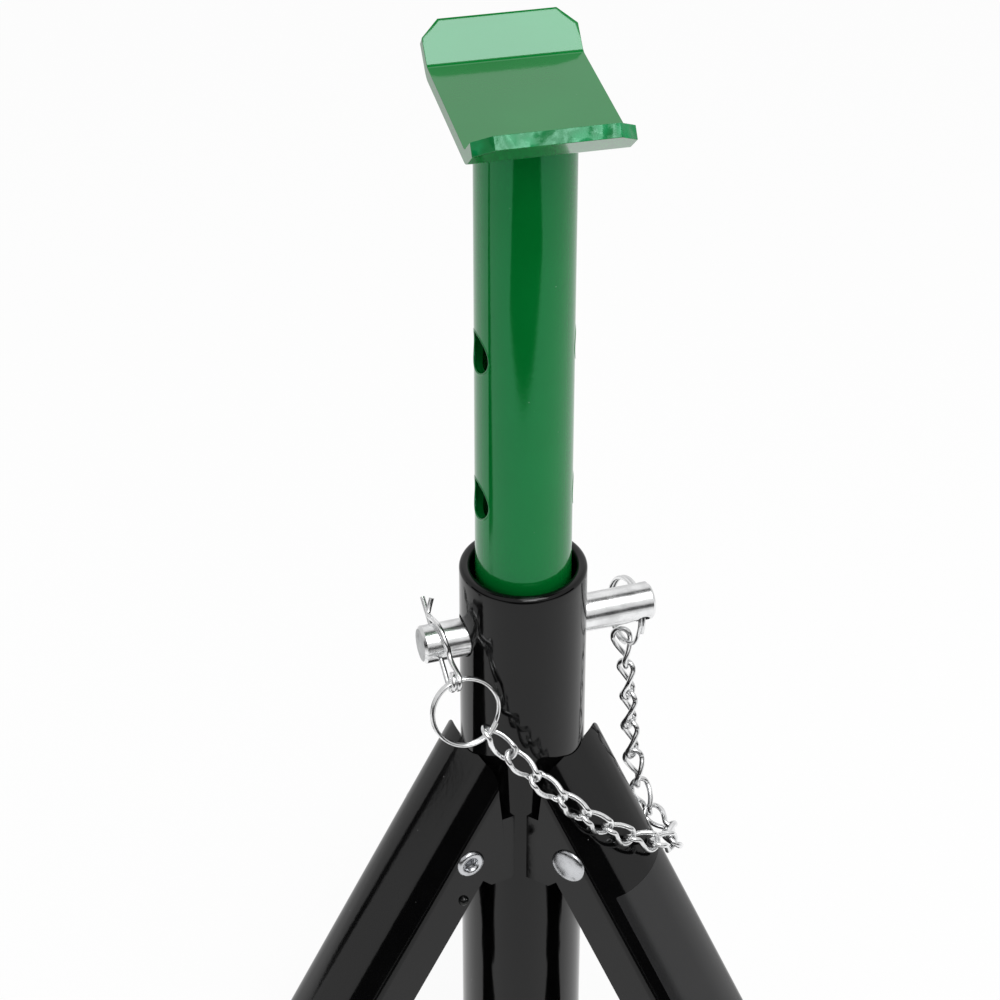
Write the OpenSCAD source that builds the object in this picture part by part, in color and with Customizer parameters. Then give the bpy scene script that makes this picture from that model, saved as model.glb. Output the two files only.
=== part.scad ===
// Folding axle stand: a bent saddle on a drilled column, which a cross pin holds in a centre tube,
// and three pressed channel legs that fold on riveted brackets round the tube.
// Millimetres, +Z up. The origin is on the tube's axis at floor level. The legs are open, and the pin
// is through the column's lowest hole, which is the tallest setting.

/* [Column] */
// Outside diameter of the column
column_d = 34.5; // [30:0.5:40]
// Wall of the column
column_wall = 3; // [2:0.5:4]
// Spacing of the column's pin holes
hole_pitch = 60; // [40:1:60]
// Number of pin holes
hole_count = 3; // [2:1:3]
// Saddle's underside to the centre of the top hole
top_hole_drop = 87.5; // [70:0.5:110]
// Centre of the lowest hole to the column's lower end
column_tail = 33; // [20:1:45]

/* [Centre tube] */
// Wall of the centre tube
tube_wall = 4; // [3:0.5:5]
// Radial clearance between the tube's bore and the column
column_clearance = 1.75; // [0.75:0.25:2.5]
// Length of the centre tube
tube_len = 225; // [190:1:235]
// Height of the tube's rim above the floor
rim_z = 256; // [245:1:290]
// Rounding of the tube's and the column's edges
tube_edge_r = 1; // [0.4:0.1:1.2]

/* [Saddle] */
// Width of the saddle plate along its bends
saddle_w = 53; // [45:1:70]
// Flat length between the two bends
saddle_flat = 58; // [46:1:70]
// Length of each turned-up flange
flange_len = 17; // [13:0.5:24]
// Angle of the flanges above the flat
flange_angle = 40; // [25:1:60]
// Thickness of the saddle plate
saddle_t = 5; // [4:0.5:8]
// Inside radius of the bends
bend_r = 2.5; // [2:0.5:6]
// Cut off each corner of the flanges
saddle_chamfer = 6.3; // [3:0.1:8]
// Turn of the saddle's bends about the column
saddle_turn = 14.5; // [0:0.5:30]

/* [Legs] */
// Width across a leg's flanks
leg_w = 43; // [40:0.5:50]
// Depth of a leg's flanks
leg_depth = 20.4; // [18:0.2:24]
// Sheet thickness of a leg
leg_wall = 2.5; // [2:0.1:3]
// Outside radius of a leg's two bends
leg_bend_r = 6; // [4:0.5:7]
// Splay of an open leg from the vertical
leg_splay = 32; // [26:1:34]
// Tube's surface to the leg's pivot
pivot_offset = 10.3; // [10:0.1:14]
// Tube's rim down to the leg's pivot
pivot_drop = 112; // [100:1:125]
// Depth of the flanks' upper edges behind the tube's outermost line, at the pivot
flank_recess = 4.6; // [3:0.1:6]
// Lean of the flanks' upper edges away from the tube
flank_lean = 6; // [0:0.5:10]
// Diameter of the pressed dimple below each rivet
dimple_d = 4; // [3:0.5:5]

/* [Feet] */
// Foot plate's margin round the leg
foot_margin = 6; // [4:0.5:7]
// Thickness of a foot plate
foot_t = 4; // [3:0.5:6]
// Corner radius of a foot plate
foot_corner_r = 8; // [4:0.5:10]

/* [Pivots] */
// Diameter of a rivet's shank
rivet_d = 8; // [6:0.5:9]
// Diameter of a rivet's domed head
rivet_head_d = 14; // [12:0.5:15]
// Height of a rivet's domed head
rivet_head_h = 2.2; // [1.6:0.2:4]
// Plate thickness of a pivot bracket
bracket_t = 3; // [2:0.5:4]
// Height of a pivot bracket on the tube
bracket_h = 30; // [24:1:34]

/* [Lock pin] */
// Diameter of the lock pin
pin_d = 14; // [10:0.5:16]
// Radial clearance of the pin in the holes of the tube and the column
pin_clearance = 0.8; // [0.5:0.1:1.5]
// Tube's rim down to the lock pin
pin_drop = 28; // [22:1:35]
// Reach of the pin beyond the tube on the clip's side
pin_reach_clip = 15.8; // [14:0.2:20]
// Reach of the pin beyond the tube on the ring's side
pin_reach_ring = 26.2; // [22:0.2:34]
// Turn of the pin about the tube's axis
pin_turn = 20; // [10:1:30]

/* [Clip, rings and chain] */
// Wire of the spring clip
clip_wire = 2; // [1.6:0.1:2.2]
// Slope of the clip's straight leg, down towards its eye
clip_dip = 29; // [20:1:40]
// Wire of the split rings, which lies double
ring_wire = 1.5; // [1.2:0.1:1.6]
// Radius of the split rings at the middle of their wire
ring_r = 12.4; // [11:0.1:14]
// Wire of the chain's links
link_wire = 2; // [1.8:0.1:2.1]
// Outside width of a link
link_w = 8.4; // [8.2:0.1:9]
// Number of links
link_count = 16; // [14:1:16]

/* [Hidden] */
$fn = 48;

// Colours
BLACK = [0.06, 0.06, 0.065];
GREEN = [0.1, 0.45, 0.25];
ZINC = [0.75, 0.76, 0.77];

// Clearances
seat_gap = 0.3;
running_gap = 0.06;
cut_room = 1;

// Column and tube
column_r = column_d / 2;
bore_r = column_r + column_clearance;
tube_r = bore_r + tube_wall;
pin_z = rim_z - pin_drop;
hole_d = pin_d + 2 * pin_clearance;
hole_sag = pin_clearance - seat_gap;
tube_hole_z = pin_z + hole_sag;
low_hole_z = pin_z - hole_sag;
saddle_z = low_hole_z + (hole_count - 1) * hole_pitch + top_hole_drop;
column_len = top_hole_drop + (hole_count - 1) * hole_pitch + column_tail;
saddle_bead_r = 3;
bend_steps = 8;
bend_end = saddle_flat / 2 - bend_r * tan(flange_angle / 2);
flange_run = flange_len - bend_r * tan(flange_angle / 2);

// Legs and pivots
LEG_TURNS = [90, 210, 330];
pivot_r = tube_r + pivot_offset;
pivot_z = rim_z - pivot_drop;
leg_back = leg_depth / 2;
leg_inner_r = leg_bend_r - leg_wall;
leg_reach = pivot_z / cos(leg_splay) + leg_depth;
leg_rise = 2 * tube_r + leg_depth;
ear_gap = 0.3;
ear_out = leg_w / 2 - leg_wall - ear_gap;
ear_r = leg_back - leg_wall - 2 * ear_gap;
ear_chamfer = min(0.66 * leg_inner_r, 0.8 * bracket_t);
ear_root = ear_out / tan(180 / len(LEG_TURNS)) + seat_gap;
web_r = tube_r + bracket_t;
web_low = 0.57 * bracket_h;
bracket_bead_r = 2.4;
bead_angle = 80;
rivet_bore_r = 2.8;
rivet_bore_depth = 9;
flare_r = 1.4;
dimple_along = 16;
dimple_in = 6.5;

// Feet
foot_r = pivot_r + (pivot_z - foot_t) * tan(leg_splay);
foot_len = leg_depth / cos(leg_splay) + 2 * foot_margin;
foot_w = leg_w + 2 * foot_margin;
foot_bead_r = 2.5;

// Pin, clip and rings
pin_chamfer = 1;
clip_from_end = 5.8;
ring_from_end = 4.7;
clip_at = clip_from_end - tube_r - pin_reach_clip;
ring_at = tube_r + pin_reach_ring - ring_from_end;
pin_len = 2 * tube_r + pin_reach_clip + pin_reach_ring;
ring_hole_tilt = -50;
ring_stack = 1.96 * ring_wire;
pin_ring_sag = ring_r - sqrt(ring_r * ring_r - pin_d * pin_d / 4);
ring_hole_d = 2 * norm([(pin_ring_sag + ring_wire) / 2, ring_stack / 2]) + 2 * seat_gap;
pin_ring_turn = 9.4;
clip_over = pin_d / 2 + clip_wire / 2 + seat_gap;
eye_r = ring_stack / 2 + clip_wire / 2 + seat_gap;
eye_at = 17.5;
clip_tip = 17.5;
clip_wave_r = 5;
eye_turns = 1.5;
eye_step = clip_wire + 0.1;
eye_shift = eye_turns * eye_step;
clip_ring_lean = 20;
clip_ring_swing = 14;

// Chain over the back of one leg, from the clip's ring to the pin's ring, with heights from the pin's axis
CHAIN_ROUTE = [
    [-11.5, -30, -26], [-2, -32, -36], [7, -33.5, -45.5], [16.5, -34.5, -53.5], [25, -32.5, -63.5],
    [33, -28.5, -72], [41.5, -24, -80], [46, -20, -83], [56.5, -17, -90], [57, -2.5, -93.5],
    [51, 4.5, -96.5], [45.5, 9.5, -88], [42.5, 11, -75], [40.5, 13.5, -62], [39.5, 15, -47.5],
    [38.5, 17.5, -34], [35.5, 22, -17.5]
];
FIRST_SIDE = [-0.1, -1, 0.1];
route_steps = 8;
link_slack = 0.4;
link_twist = 45;
link_spin = 3;
wire_sides = 8;
end_steps = 6;

// Helpers

function unit(v) = v / norm(v);

// Point at u, 0 to 1, on span i of a smooth curve through the points p
function curve(p, i, u) =
    let(a = p[max(i - 1, 0)], b = p[i], c = p[i + 1], d = p[min(i + 2, len(p) - 1)])
    0.5 * (2 * b + (c - a) * u + (2 * a - 5 * b + 4 * c - d) * u * u
        + (3 * b - a - 3 * c + d) * u * u * u);

function smooth(p, steps) = concat(
    [for (i = [0 : len(p) - 2]) for (k = [0 : steps - 1]) curve(p, i, k / steps)],
    [p[len(p) - 1]]);

// Length along the line p up to its point i
function run(p, i) = i == 0 ? 0 : run(p, i - 1) + norm(p[i] - p[i - 1]);

// Point at the distance s along the line p
function along(p, s, i = 0) =
    let(step = norm(p[i + 1] - p[i]))
    s <= step || i == len(p) - 2 ? p[i] + (p[i + 1] - p[i]) * (s / step) : along(p, s - step, i + 1);

// Direction of each link's width, carried along the joints with a small steady spin
function carried(joints, i, side) =
    let(x = unit(joints[i + 1] - joints[i]), y = unit(side - (side * x) * x),
        next = cos(link_spin) * y + sin(link_spin) * cross(x, y))
    i == len(joints) - 2 ? [y] : concat([y], carried(joints, i + 1, next));

function arc_points(centre, r, from, to) = [for (k = [0 : bend_steps])
    let(a = from + (to - from) * k / bend_steps) centre + r * [cos(a), sin(a)]];

module rounded_rect(size, r) {
    translate([r, 0]) square([size[0] - 2 * r, size[1]]);
    translate([0, r]) square([size[0], size[1] - 2 * r]);
    for (x = [r, size[0] - r]) for (y = [r, size[1] - r]) translate([x, y]) circle(r);
}

// Pipe from z = 0 upwards with rounded ends
module pipe(outer_r, wall, length, edge_r) {
    rotate_extrude()
        translate([outer_r - wall, 0])
            rounded_rect([wall, length], edge_r);
}

// Quarter-round weld bead in the corner of a wall at x = 0 and a ledge at y = 0
module bead(r) {
    intersection() {
        circle(r);
        square(r);
    }
}

// Round wire along a line, with a reference direction at each of its points
module wire(path, refs, d, closed) {
    n = len(path);
    tangents = [for (i = [0 : n - 1]) unit(closed
        ? path[(i + 1) % n] - path[(i + n - 1) % n]
        : path[min(i + 1, n - 1)] - path[max(i - 1, 0)])];
    points = [for (i = [0 : n - 1])
        let(a = unit(cross(tangents[i], refs[i])), b = cross(tangents[i], a))
        for (k = [0 : wire_sides - 1])
            let(turn = 360 * k / wire_sides)
            path[i] + d / 2 * (cos(turn) * a + sin(turn) * b)];
    sides = [for (i = [0 : n - (closed ? 1 : 2)]) for (k = [0 : wire_sides - 1])
        let(a = i * wire_sides, b = (i + 1) % n * wire_sides, m = (k + 1) % wire_sides)
        each [[a + m, a + k, b + k], [a + m, b + k, b + m]]];
    caps = closed ? [] : [
        [for (k = [0 : wire_sides - 1]) k],
        [for (k = [wire_sides - 1 : -1 : 0]) (n - 1) * wire_sides + k]];
    polyhedron(points, concat(sides, caps), convexity = 6);
}

module pin_frame() {
    translate([0, 0, pin_z]) rotate([0, 0, pin_turn]) children();
}

// Straight leg along X through the pin's axis, eye at +X, waved leg on the +Y side
module clip_frame() {
    pin_frame() translate([clip_at, 0, 0]) rotate([90 + clip_dip, 0, 0]) rotate([0, -90, 0]) children();
}

// Radial frame of one leg: X away from the tube, Y along its rivet
module leg_frame(i) {
    rotate([0, 0, LEG_TURNS[i]]) children();
}

// Frame of one open leg: origin on its pivot, X out through its back, Z up along it
module splayed(i) {
    leg_frame(i) translate([pivot_r, 0, pivot_z]) rotate([0, -leg_splay, 0]) children();
}

// Tube and column

module centre_tube() {
    color(BLACK) difference() {
        translate([0, 0, rim_z - tube_len]) pipe(tube_r, tube_wall, tube_len, tube_edge_r);
        translate([0, 0, tube_hole_z]) rotate([0, 90, pin_turn])
            cylinder(d = hole_d, h = 2 * tube_r + 2 * cut_room, center = true);
    }
}

module column_tube() {
    color(GREEN) difference() {
        translate([0, 0, saddle_z - column_len]) pipe(column_r, column_wall, column_len, tube_edge_r);
        for (k = [0 : hole_count - 1])
            translate([0, 0, low_hole_z + k * hole_pitch]) rotate([0, 90, pin_turn])
                cylinder(d = hole_d, h = 2 * column_r + 2 * cut_room, center = true);
    }
}

// Frame of a flange: origin on the bend's axis above the flat's end, Y out along the flange
module flange_frame() {
    translate([0, bend_end, saddle_t + bend_r]) rotate([flange_angle, 0, 0]) children();
}

// Side view of the saddle plate: X from its middle line to a flange, Y up
module saddle_profile() {
    centre = [bend_end, bend_r + saddle_t];
    out = flange_run * [cos(flange_angle), sin(flange_angle)];
    down = [sin(flange_angle), -cos(flange_angle)];
    half = concat(
        arc_points(centre, bend_r + saddle_t, -90, flange_angle - 90),
        [for (r = [bend_r + saddle_t, bend_r]) centre + r * down + out],
        arc_points(centre, bend_r, flange_angle - 90, -90));
    polygon(concat(half, [for (i = [len(half) - 1 : -1 : 0]) [-half[i][0], half[i][1]]]));
}

module saddle_plate() {
    color(GREEN) translate([0, 0, saddle_z]) rotate([0, 0, saddle_turn]) difference() {
        rotate([90, 0, 90]) translate([0, 0, -saddle_w / 2]) linear_extrude(saddle_w) saddle_profile();
        for (x = [0, 1]) for (y = [0, 1]) mirror([x, 0, 0]) mirror([0, y, 0]) flange_frame()
            translate([saddle_w / 2, flange_run - saddle_chamfer, -bend_r - saddle_t - cut_room])
                rotate([0, 0, 45]) cube([saddle_w, saddle_w, saddle_t + 2 * cut_room]);
    }
}

module saddle_weld() {
    color(GREEN) translate([0, 0, saddle_z]) mirror([0, 0, 1])
        rotate_extrude() translate([column_r, 0]) bead(saddle_bead_r);
}

// Legs

// Section of a leg: X towards its back, Y across its flanks
module channel_section() {
    span = leg_depth + leg_bend_r;
    difference() {
        translate([leg_back - span, -leg_w / 2]) rounded_rect([span, leg_w], leg_bend_r);
        translate([leg_back - leg_wall - span, leg_wall - leg_w / 2])
            rounded_rect([span, leg_w - 2 * leg_wall], leg_inner_r);
        translate([-leg_back - span, -leg_w]) square([span, 2 * leg_w]);
    }
}

module leg(i) {
    color(BLACK) difference() {
        union() {
            splayed(i) translate([0, 0, -leg_reach]) linear_extrude(leg_reach + leg_rise) channel_section();
            splayed(i) translate([-dimple_in, leg_w / 2, -dimple_along]) sphere(d = dimple_d);
        }
        splayed(i) rotate([90, 0, 0]) cylinder(d = rivet_d, h = leg_w + 2 * cut_room, center = true);
        splayed(i)
            translate([-dimple_in - dimple_d, leg_w / 2 - leg_wall - dimple_d, -dimple_along - dimple_d])
                cube([2 * dimple_d, dimple_d, 2 * dimple_d]);
        cylinder(r = tube_r + seat_gap, h = 2 * rim_z);
        leg_frame(i) translate([tube_r - flank_recess, 0, pivot_z]) rotate([0, flank_lean, 0])
            translate([-4 * leg_w, -leg_w, -rim_z]) cube([4 * leg_w, 2 * leg_w, 2 * rim_z]);
        translate([0, 0, foot_t - 2 * leg_reach]) cylinder(r = 2 * leg_reach, h = 2 * leg_reach);
    }
}

module foot(i) {
    color(BLACK) leg_frame(i) translate([foot_r - foot_len / 2, -foot_w / 2, 0])
        linear_extrude(foot_t) rounded_rect([foot_len, foot_w], foot_corner_r);
}

// Beads along the two flanks, between the leg's bends and its free edges
module foot_weld(i) {
    bead_len = (leg_depth - leg_bend_r) / cos(leg_splay);
    color(BLACK) leg_frame(i)
        for (side = [0, 1]) mirror([0, side, 0])
            translate([foot_r - leg_back / cos(leg_splay), leg_w / 2, foot_t])
                rotate([90, 0, 90]) linear_extrude(bead_len) bead(foot_bead_r);
}

// Pivots

// Curved web on the tube with two ears inside the leg's flanks, chamfered to clear its bends
module pivot_bracket(i) {
    web_top = bracket_h - web_low;
    color(BLACK) leg_frame(i) translate([0, 0, pivot_z]) difference() {
        union() {
            intersection() {
                translate([0, 0, -web_low]) cylinder(r = web_r, h = bracket_h);
                translate([ear_root, -ear_out, -web_low]) cube([web_r, 2 * ear_out, bracket_h]);
            }
            for (side = [0, 1]) mirror([0, side, 0]) translate([0, ear_out, 0]) rotate([90, 0, 0]) {
                linear_extrude(bracket_t) polygon([
                    [ear_root, -web_low], [tube_r, -web_low], [pivot_r, -ear_r],
                    [pivot_r, ear_r], [tube_r, web_top], [ear_root, web_top]]);
                translate([pivot_r, 0, 0]) cylinder(r1 = ear_r - ear_chamfer, r2 = ear_r, h = ear_chamfer);
                translate([pivot_r, 0, ear_chamfer]) cylinder(r = ear_r, h = bracket_t - ear_chamfer);
            }
        }
        translate([0, 0, -bracket_h]) cylinder(r = tube_r, h = 2 * bracket_h);
        translate([pivot_r, 0, 0]) rotate([90, 0, 0])
            cylinder(r = rivet_d / 2 + running_gap, h = leg_w, center = true);
    }
}

// Beads above and below the bracket's web
module bracket_weld(i) {
    color(BLACK) leg_frame(i) translate([0, 0, pivot_z]) rotate([0, 0, -bead_angle / 2]) {
        translate([0, 0, bracket_h - web_low])
            rotate_extrude(angle = bead_angle) translate([tube_r, 0]) bead(bracket_bead_r);
        translate([0, 0, -web_low]) mirror([0, 0, 1])
            rotate_extrude(angle = bead_angle) translate([tube_r, 0]) bead(bracket_bead_r);
    }
}

// Domed head on the -Y flank, rolled tubular end on the +Y flank
module pivot_rivet(i) {
    dome_r = (rivet_head_d * rivet_head_d / 4 + rivet_head_h * rivet_head_h) / (2 * rivet_head_h);
    color(ZINC) splayed(i) rotate([-90, 0, 0]) difference() {
        union() {
            translate([0, 0, -leg_w / 2]) cylinder(d = rivet_d, h = leg_w + flare_r);
            intersection() {
                translate([0, 0, dome_r - rivet_head_h - leg_w / 2]) sphere(dome_r);
                translate([0, 0, -leg_w / 2 - 2 * rivet_head_h])
                    cylinder(d = rivet_head_d, h = 2 * rivet_head_h);
            }
            translate([0, 0, leg_w / 2]) intersection() {
                rotate_extrude() translate([rivet_d / 2, 0]) circle(flare_r);
                cylinder(d = 2 * rivet_head_d, h = rivet_head_h);
            }
        }
        translate([0, 0, leg_w / 2 - rivet_bore_depth]) cylinder(r = rivet_bore_r, h = 2 * rivet_bore_depth);
    }
}

// Lock pin, clip, rings and chain

module lock_pin() {
    pin_r = pin_d / 2;
    color(ZINC) pin_frame() difference() {
        translate([-tube_r - pin_reach_clip, 0, 0]) rotate([0, 90, 0]) {
            cylinder(r1 = pin_r - pin_chamfer, r2 = pin_r, h = pin_chamfer);
            translate([0, 0, pin_chamfer]) cylinder(r = pin_r, h = pin_len - 2 * pin_chamfer);
            translate([0, 0, pin_len - pin_chamfer])
                cylinder(r1 = pin_r, r2 = pin_r - pin_chamfer, h = pin_chamfer);
        }
        translate([clip_at, 0, 0]) rotate([90 + clip_dip, 0, 0])
            cylinder(d = clip_wire + 2 * seat_gap, h = 2 * pin_d, center = true);
        translate([ring_at, 0, 0]) rotate([ring_hole_tilt, 0, 0])
            cylinder(d = ring_hole_d, h = 2 * pin_d, center = true);
    }
}

// Centre line of the clip: straight leg, coiled eye, then the leg that waves over the pin
function clip_slide(x) = -eye_shift * (x + clip_tip) / (eye_at + clip_tip);
wave_in = (clip_over + clip_wave_r) / sqrt(2);
CLIP_LINE = concat(
    [for (x = [-clip_tip : 7 : eye_at - 1]) [x, 0, 0]],
    [for (t = [0 : 22.5 : 360 * eye_turns])
        [eye_at + eye_r * sin(t), eye_r - eye_r * cos(t), -eye_step * t / 360]],
    [for (t = [-90 : -22.5 : -135])
        let(x = wave_in + clip_wave_r * cos(t)) [x, wave_in + clip_wave_r * sin(t), clip_slide(x)]],
    [for (t = [60 : 15 : 120]) let(x = clip_over * cos(t)) [x, clip_over * sin(t), clip_slide(x)]],
    [for (t = [-45 : -22.5 : -135])
        let(x = clip_wave_r * cos(t) - wave_in) [x, wave_in + clip_wave_r * sin(t), clip_slide(x)]],
    [[-clip_tip + 1, wave_in - 0.6, clip_slide(-clip_tip)]]);

module r_clip() {
    color(ZINC) clip_frame() wire(CLIP_LINE, [for (p = CLIP_LINE) [0, 0, 1]], clip_wire, false);
}

// Split ring about Z, its two turns lying side by side
module split_ring() {
    half = (ring_stack - ring_wire) / 2;
    rotate_extrude() translate([ring_r, 0]) {
        translate([-ring_wire / 2, -half]) square([ring_wire, 2 * half]);
        for (y = [-half, half]) translate([0, y]) circle(d = ring_wire);
    }
}

module clip_ring() {
    color(ZINC) clip_frame() translate([eye_at, eye_r, -eye_shift / 2])
        rotate([0, 90, 0]) rotate([-90 - clip_dip, 0, 0])
            rotate([-90 - clip_ring_lean, 0, 0])
                translate([ring_r * sin(clip_ring_swing), ring_r * cos(clip_ring_swing), 0]) split_ring();
}

module pin_ring() {
    color(ZINC) pin_frame() translate([ring_at, 0, 0]) rotate([ring_hole_tilt, 0, 0])
        rotate([0, 0, pin_ring_turn]) translate([0, ring_r - pin_ring_sag / 2, 0])
            rotate([0, 90, 0]) split_ring();
}

// One link along X of the given length between its outermost wire centres, twisted between its flat ends
module link(length) {
    r = (link_w - link_wire) / 2;
    half = length / 2 - r;
    flat = concat(
        [for (k = [0 : end_steps]) let(t = 180 * k / end_steps - 90) [half + r * cos(t), r * sin(t)]],
        [[0, r]],
        [for (k = [0 : end_steps]) let(t = 180 * k / end_steps + 90) [r * cos(t) - half, r * sin(t)]],
        [[0, -r]]);
    turns = [for (p = flat) link_twist * max(-1, min(1, p[0] / half))];
    path = [for (i = [0 : len(flat) - 1])
        [flat[i][0], flat[i][1] * cos(turns[i]), flat[i][1] * sin(turns[i])]];
    wire(path, [for (t = turns) [0, -sin(t), cos(t)]], link_wire, true);
}

// Each link ends at its far joint and reaches back past its near one, so that the chain bends freely
module chain() {
    line = smooth(CHAIN_ROUTE, route_steps);
    pitch = run(line, len(line) - 1) / link_count;
    reach = link_wire + link_slack;
    joints = [for (k = [0 : link_count]) along(line, k * pitch)];
    sides = carried(joints, 0, FIRST_SIDE);
    color(ZINC) translate([0, 0, pin_z]) for (k = [0 : link_count - 1]) {
        x = unit(joints[k + 1] - joints[k]);
        y = sides[k];
        z = cross(x, y);
        middle = (joints[k] + joints[k + 1] - reach * x) / 2;
        multmatrix([
            [x[0], y[0], z[0], middle[0]],
            [x[1], y[1], z[1], middle[1]],
            [x[2], y[2], z[2], middle[2]],
            [0, 0, 0, 1]]) link(pitch + reach);
    }
}

centre_tube();
column_tube();
saddle_plate();
saddle_weld();
leg(0);  // leg_a
leg(1);  // leg_b
leg(2);  // leg_c
foot(0);  // foot_a
foot(1);  // foot_b
foot(2);  // foot_c
foot_weld(0);  // foot_weld_a
foot_weld(1);  // foot_weld_b
foot_weld(2);  // foot_weld_c
pivot_bracket(0);  // pivot_bracket_a
pivot_bracket(1);  // pivot_bracket_b
pivot_bracket(2);  // pivot_bracket_c
bracket_weld(0);  // bracket_weld_a
bracket_weld(1);  // bracket_weld_b
bracket_weld(2);  // bracket_weld_c
pivot_rivet(0);  // pivot_rivet_a
pivot_rivet(1);  // pivot_rivet_b
pivot_rivet(2);  // pivot_rivet_c
lock_pin();
r_clip();
clip_ring();
pin_ring();
chain();
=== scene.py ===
"""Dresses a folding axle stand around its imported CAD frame: painted steel, zinc hardware and a studio."""

import logging
import math
from collections.abc import Iterable, Sequence
from dataclasses import dataclass, field
from enum import Enum

import bmesh
import bpy
from mathutils import Matrix, Vector


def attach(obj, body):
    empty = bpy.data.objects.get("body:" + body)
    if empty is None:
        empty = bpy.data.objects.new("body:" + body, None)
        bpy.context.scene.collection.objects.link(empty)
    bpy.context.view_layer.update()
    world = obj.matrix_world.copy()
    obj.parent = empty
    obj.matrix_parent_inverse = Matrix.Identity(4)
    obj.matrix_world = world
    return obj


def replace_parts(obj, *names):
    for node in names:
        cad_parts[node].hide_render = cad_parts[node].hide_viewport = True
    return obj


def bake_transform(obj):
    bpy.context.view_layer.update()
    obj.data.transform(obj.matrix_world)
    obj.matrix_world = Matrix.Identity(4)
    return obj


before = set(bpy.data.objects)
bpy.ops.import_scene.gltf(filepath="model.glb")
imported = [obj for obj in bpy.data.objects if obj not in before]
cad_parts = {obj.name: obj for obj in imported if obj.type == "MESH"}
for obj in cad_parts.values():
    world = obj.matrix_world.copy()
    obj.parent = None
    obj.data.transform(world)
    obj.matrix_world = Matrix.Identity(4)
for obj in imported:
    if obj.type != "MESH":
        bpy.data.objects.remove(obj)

log = logging.getLogger("axle_stand")

Point = tuple[float, float, float]
Colour = tuple[float, float, float]

MM = 0.001

# Places that several pieces follow, in millimetres and degrees
PIN_HEIGHT = 228.0
PIN_TURN = 20.0
CLIP_HOLE = -33.0
CLIP_ROLL = 119.0

# Limits for cleaning up a mesh, in metres and degrees
MERGE_DISTANCE = 2e-6
CUT_DISTANCE = 1e-6
FLAT_ANGLE = 0.4
SMOOTH_ANGLE = 32.0


class Body(str, Enum):
    """Bodies of the frame that pieces ride on."""

    STAND = "stand"
    LEG_A = "leg_a"
    LEG_B = "leg_b"
    LEG_C = "leg_c"
    COLUMN = "column"
    PIN = "pin"
    CLIP = "clip"


class Slot(str, Enum):
    """Names of the material slots."""

    BLACK = "black_paint"
    GREEN = "green_paint"
    ZINC = "zinc_plate"


# Shader graph


@dataclass(frozen=True)
class Socket:
    """An output of a shader node that takes part in sums and products."""

    graph: "Graph"
    output: bpy.types.NodeSocket

    def _math(self, operation: str, *values: "Socket | float", clamp: bool = False) -> "Socket":
        """A Math node over the given values."""
        settings = {"operation": operation, "use_clamp": clamp}
        return self.graph.node("ShaderNodeMath", settings, dict(enumerate(values)))

    def __add__(self, other: "Socket | float") -> "Socket":
        """This value plus another."""
        return self._math("ADD", self, other)

    def __radd__(self, other: float) -> "Socket":
        """A number plus this value."""
        return self._math("ADD", other, self)

    def __sub__(self, other: "Socket | float") -> "Socket":
        """This value less another."""
        return self._math("SUBTRACT", self, other)

    def __rsub__(self, other: float) -> "Socket":
        """A number less this value."""
        return self._math("SUBTRACT", other, self)

    def __mul__(self, other: "Socket | float") -> "Socket":
        """This value times another."""
        return self._math("MULTIPLY", self, other)

    def __rmul__(self, other: float) -> "Socket":
        """A number times this value."""
        return self._math("MULTIPLY", other, self)

    def highest(self, other: "Socket | float") -> "Socket":
        """The larger of two values."""
        return self._math("MAXIMUM", self, other)

    def ramp(self, low: float, high: float) -> "Socket":
        """A smooth step from 0 at low to 1 at high."""
        settings = {"interpolation_type": "SMOOTHSTEP"}
        inputs = {"Value": self, "From Min": low, "From Max": high}
        return self.graph.node("ShaderNodeMapRange", settings, inputs)

    def between(self, low: float, high: float) -> "Socket":
        """A value from 0 to 1 spread between low and high."""
        return self * (high - low) + low


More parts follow.
